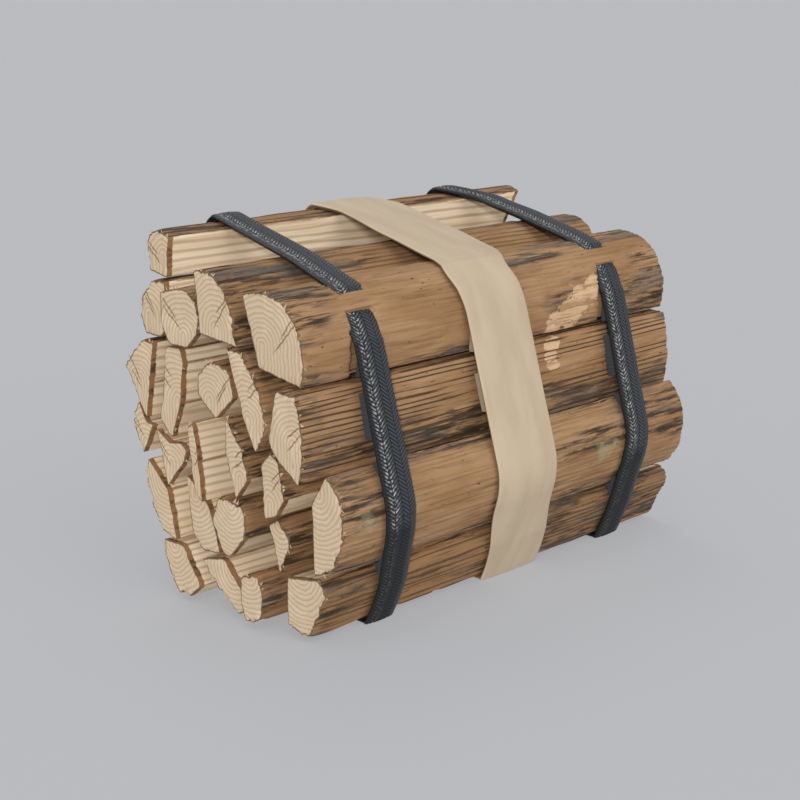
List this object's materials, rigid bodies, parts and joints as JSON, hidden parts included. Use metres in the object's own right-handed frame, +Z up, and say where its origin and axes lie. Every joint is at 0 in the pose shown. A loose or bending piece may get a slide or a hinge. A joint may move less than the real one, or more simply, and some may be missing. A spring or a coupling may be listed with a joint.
{
  "type": "firewood bundle",
  "caption": "Bundle of split firewood logs with bark, held together by narrow black braided straps and one wide cream band round the middle.",
  "frame": {"origin": "on the ground, under the middle of the bundle's bounding box", "axes": "+X along the logs, towards their far ends in the picture; +Y to the bundle's back; +Z up"},
  "size_m": [0.412, 0.2399, 0.28],
  "materials": {
    "bark": "rough",
    "braid": "satin",
    "leather": "soft matte"
  },
  "bodies": {
    "root": {"log_first_1": "bark", "log_first_2": "bark", "log_first_3": "bark", "log_first_4": "bark", "log_second_1": "bark", "log_second_2": "bark", "log_second_3": "bark", "log_second_4": "bark", "log_second_5": "bark", "log_third_1": "bark", "log_third_2": "bark", "log_third_3": "bark", "log_third_4": "bark", "log_third_5": "bark", "log_fourth_1": "bark", "log_fourth_2": "bark", "log_fourth_3": "bark", "log_fourth_4": "bark", "log_fourth_5": "bark", "log_fifth_1": "bark", "log_fifth_2": "bark", "log_fifth_3": "bark", "log_fifth_4": "bark", "log_top": "bark", "strap_near": "braid", "strap_far": "braid", "band": "leather"}
  },
  "joints": []
}
